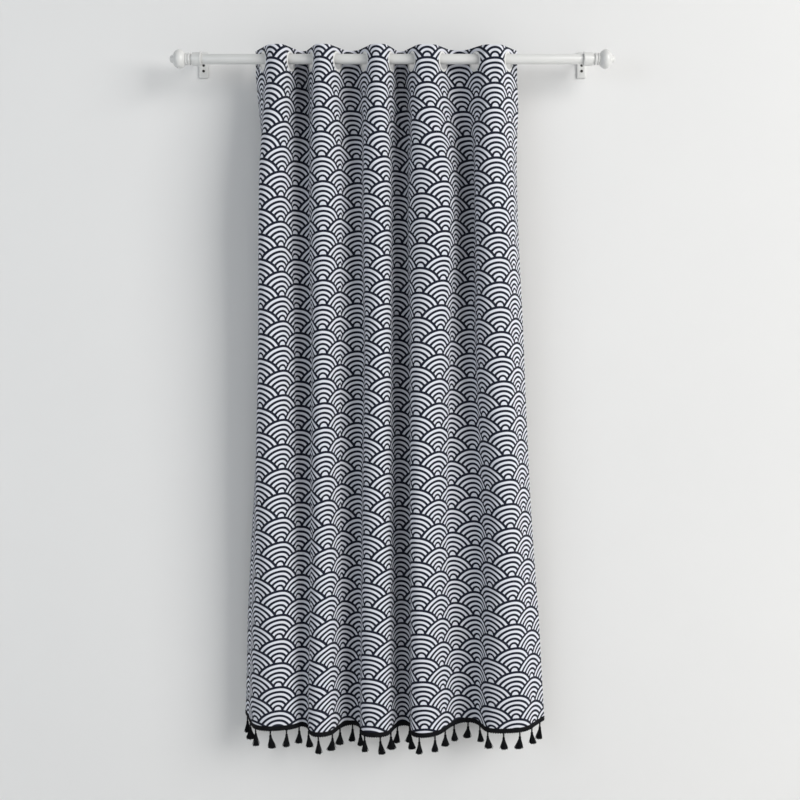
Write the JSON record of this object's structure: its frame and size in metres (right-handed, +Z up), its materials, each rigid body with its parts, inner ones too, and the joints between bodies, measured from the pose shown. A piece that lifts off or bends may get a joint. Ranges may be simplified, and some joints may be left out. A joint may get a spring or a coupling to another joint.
{
  "type": "eyelet curtain and curtain rod",
  "caption": "Patterned cloth curtain hanging in soft folds by eyelets on a white rod with ball ends and wall brackets, with a black tassel trim along its hem.",
  "frame": {"origin": "on the wall plane, level with the rod's axis and midway between the two brackets", "axes": "+X to the right along the rod, +Y into the wall, +Z up"},
  "size_m": [1.1456, 0.1621, 1.8461],
  "materials": {
    "printed_cloth": "matte canvas-weave cotton printed with dark navy and white overlapping scales",
    "black_yarn": "matte black cotton yarn",
    "white_ring": "satin white moulding",
    "white_paint": "satin warm white paint",
    "dark_steel": "dark oxidised steel"
  },
  "bodies": {
    "root": {"curtain_panel": "printed_cloth", "tassel_trim": "black_yarn", "eyelet_01": "white_ring", "eyelet_02": "white_ring", "eyelet_03": "white_ring", "eyelet_04": "white_ring", "eyelet_05": "white_ring", "eyelet_06": "white_ring", "eyelet_07": "white_ring", "eyelet_08": "white_ring", "eyelet_09": "white_ring", "eyelet_10": "white_ring", "curtain_rod": "white_paint", "finial_left": "white_paint", "finial_right": "white_paint", "bracket_left": "white_paint", "bracket_right": "white_paint", "wall_screw_left_upper": "dark_steel", "wall_screw_left_lower": "dark_steel", "wall_screw_right_upper": "dark_steel", "wall_screw_right_lower": "dark_steel"}
  },
  "joints": []
}
